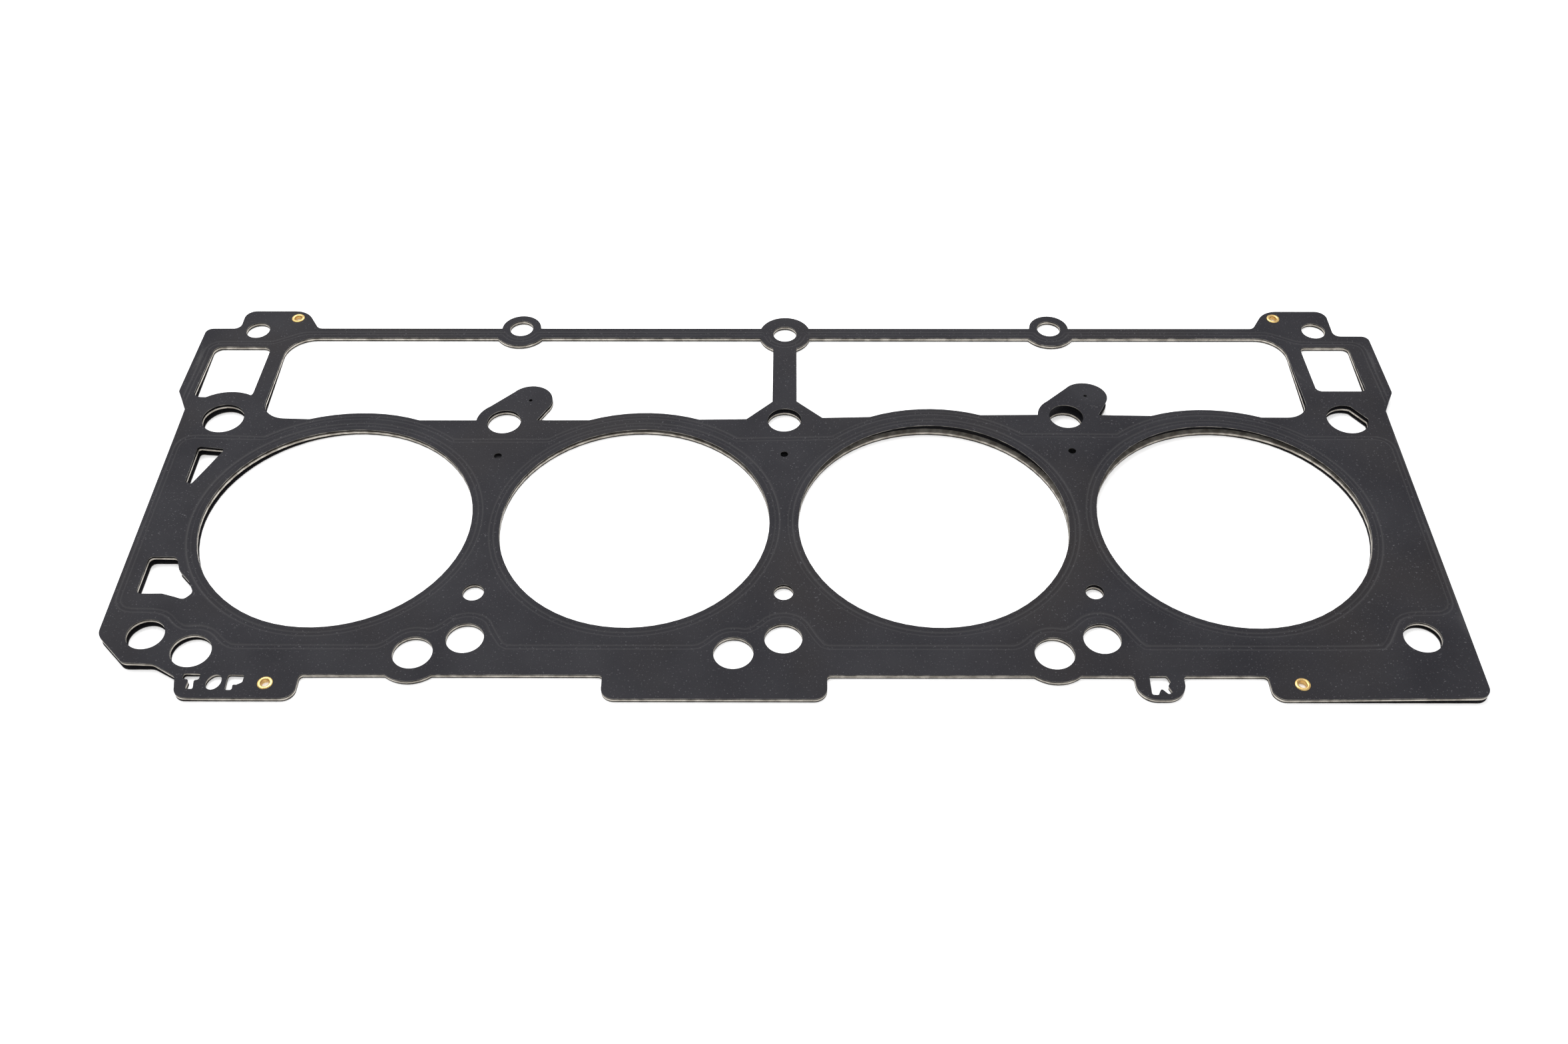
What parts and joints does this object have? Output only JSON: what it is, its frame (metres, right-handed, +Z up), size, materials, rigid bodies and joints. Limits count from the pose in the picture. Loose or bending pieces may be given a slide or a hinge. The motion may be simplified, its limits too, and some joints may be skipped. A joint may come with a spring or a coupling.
{
  "type": "cylinder head gasket",
  "caption": "Multi-layer steel head gasket for a bank of cylinders, with coated outer sheets, a steel spacer, bore stoppers and brass eyelets.",
  "frame": {"origin": "on the row of bore axes, midway along the bank, on the underside of the lowest layer", "axes": "+X along the bank of bores, +Y across it towards the rail, +Z up, from the block towards the head"},
  "size_m": [0.498, 0.21, 0.0022],
  "materials": {
    "coated_sheet": "matte rubber coating on spring steel",
    "spacer_sheet": "bare rolled steel",
    "stopper": "bare rolled steel shim",
    "eyelet": "rolled brass"
  },
  "bodies": {
    "root": {"bottom_layer": "coated_sheet", "spacer_layer": "spacer_sheet", "top_layer": "coated_sheet", "stopper_ring_1": "stopper", "stopper_ring_2": "stopper", "stopper_ring_3": "stopper", "stopper_ring_4": "stopper", "eyelet_front_left": "eyelet", "eyelet_front_right": "eyelet", "eyelet_rear_left": "eyelet", "eyelet_rear_right": "eyelet"}
  },
  "joints": []
}
